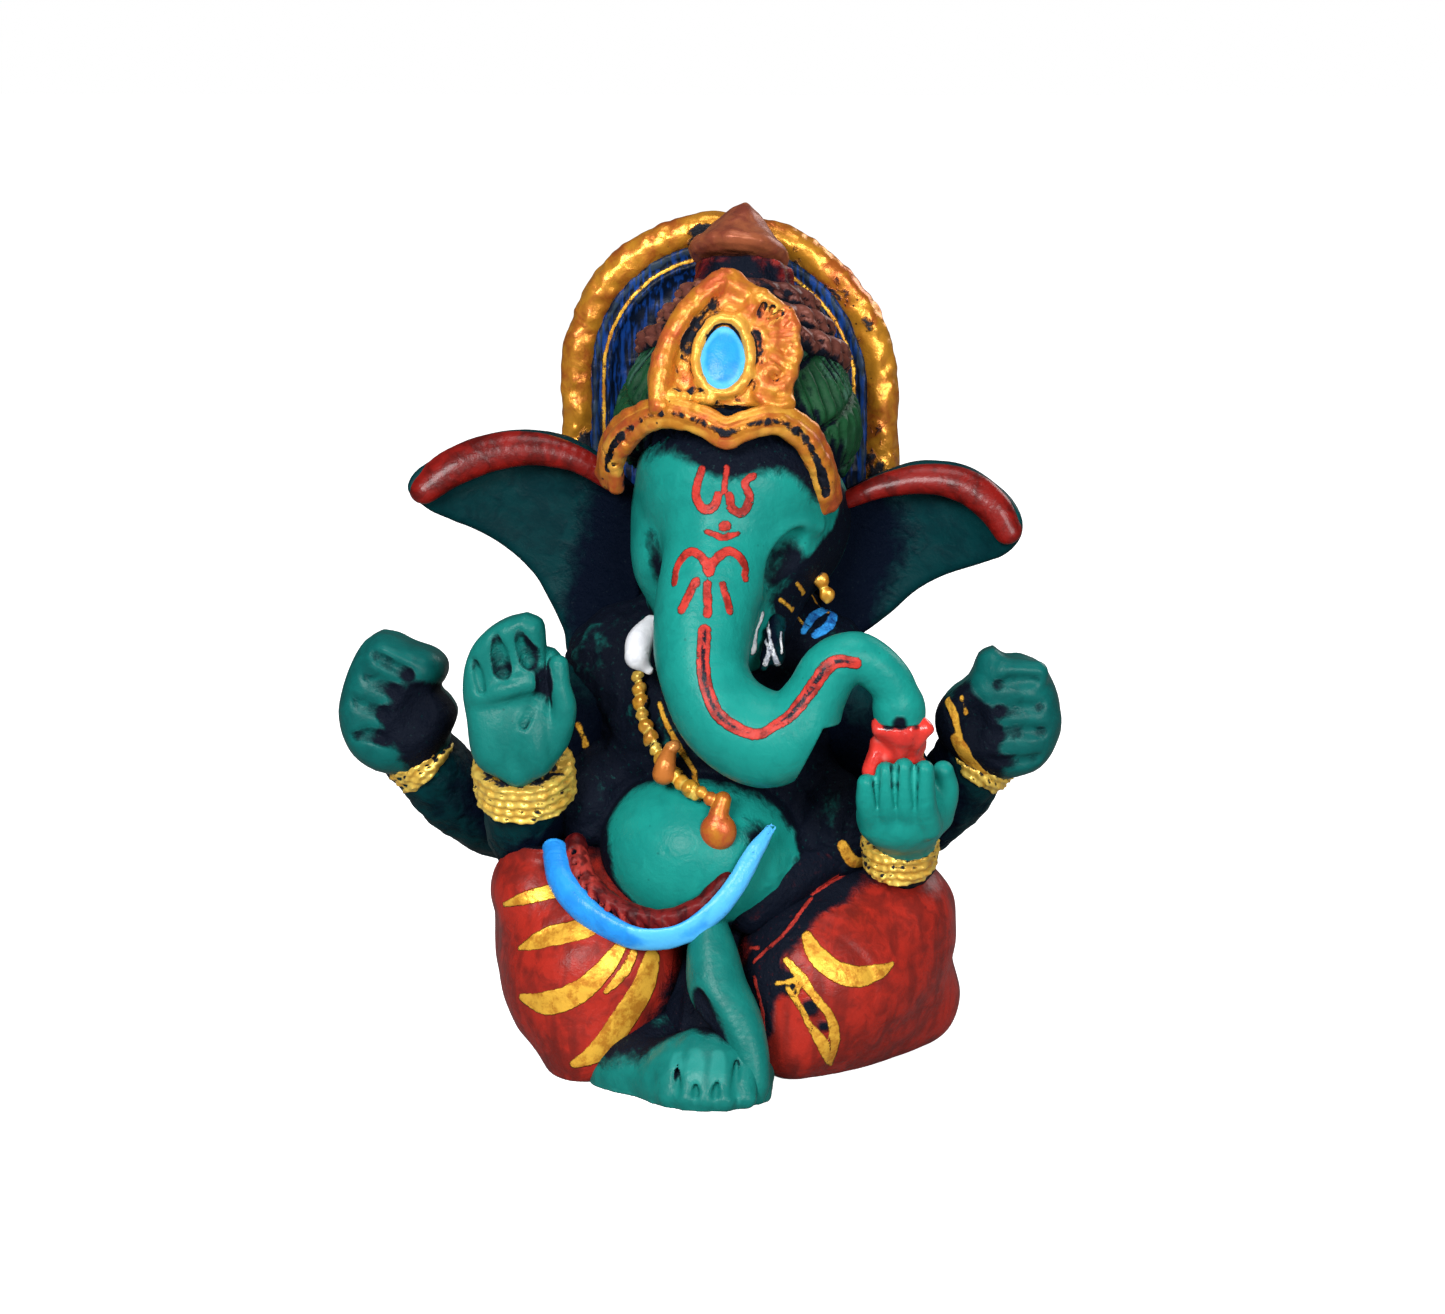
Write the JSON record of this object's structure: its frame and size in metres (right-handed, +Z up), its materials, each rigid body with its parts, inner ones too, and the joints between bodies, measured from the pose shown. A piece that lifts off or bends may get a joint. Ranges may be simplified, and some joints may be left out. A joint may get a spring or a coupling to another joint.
{
  "type": "ganesha idol",
  "caption": "Small seated elephant-headed devotional figurine with crown, halo, curled trunk and four arms, painted cast resin, flat base.",
  "frame": {"origin": "on the flat underside, midway between the legs, under the middle of the figure", "axes": "+Z up, -Y towards the front that the face and belly look at, +X to the viewer's right, which is the figure's own left"},
  "size_m": [0.0701, 0.0381, 0.082],
  "materials": {
    "teal_skin_paint": "satin teal-green paint over cast resin, near-black wash in the recesses",
    "gold_paint": "dry-brushed metallic gold paint over a dark wash",
    "copper_paint": "satin copper paint",
    "red_paint": "glossy red paint, mottled with dark wash",
    "dark_red_paint": "glossy dark red paint",
    "blue_paint": "glossy bright blue paint",
    "green_leaf_paint": "dark green paint with black in the engraving",
    "dark_panel_paint": "near-black blue wash, scratched",
    "white_paint": "glossy white paint"
  },
  "bodies": {
    "root": {"halo_rim": "gold_paint", "halo_plate": "dark_panel_paint", "crown_leaf_tier": "green_leaf_paint", "crown_lower_rope": "copper_paint", "crown_middle_rope": "copper_paint", "crown_upper_rope": "copper_paint", "crown_neck": "dark_red_paint", "crown_finial": "copper_paint", "crown_plaque": "gold_paint", "crown_gem": "blue_paint", "diadem_band": "gold_paint", "head": "teal_skin_paint", "trunk": "teal_skin_paint", "left_ear": "teal_skin_paint", "right_ear": "teal_skin_paint", "left_ear_rim": "red_paint", "right_ear_rim": "red_paint", "left_tusk": "white_paint", "right_tusk": "white_paint", "torso": "teal_skin_paint", "hip_cloth": "red_paint", "left_beads": "gold_paint", "right_beads": "gold_paint", "bead_drop": "copper_paint", "pendant": "gold_paint", "sash": "blue_paint", "waist_cloth": "dark_red_paint", "left_leg": "red_paint", "right_leg": "red_paint", "shin": "teal_skin_paint", "foot": "teal_skin_paint", "rear_left_arm": "teal_skin_paint", "rear_right_arm": "teal_skin_paint", "front_left_arm": "teal_skin_paint", "front_right_arm": "teal_skin_paint", "rear_left_fist": "teal_skin_paint", "rear_right_fist": "teal_skin_paint", "open_palm": "teal_skin_paint", "sweet_hand": "teal_skin_paint", "rear_left_bracelet": "gold_paint", "rear_right_bracelet": "gold_paint", "front_left_bracelet": "gold_paint", "front_right_bracelet": "gold_paint", "sweet": "red_paint"}
  },
  "joints": []
}
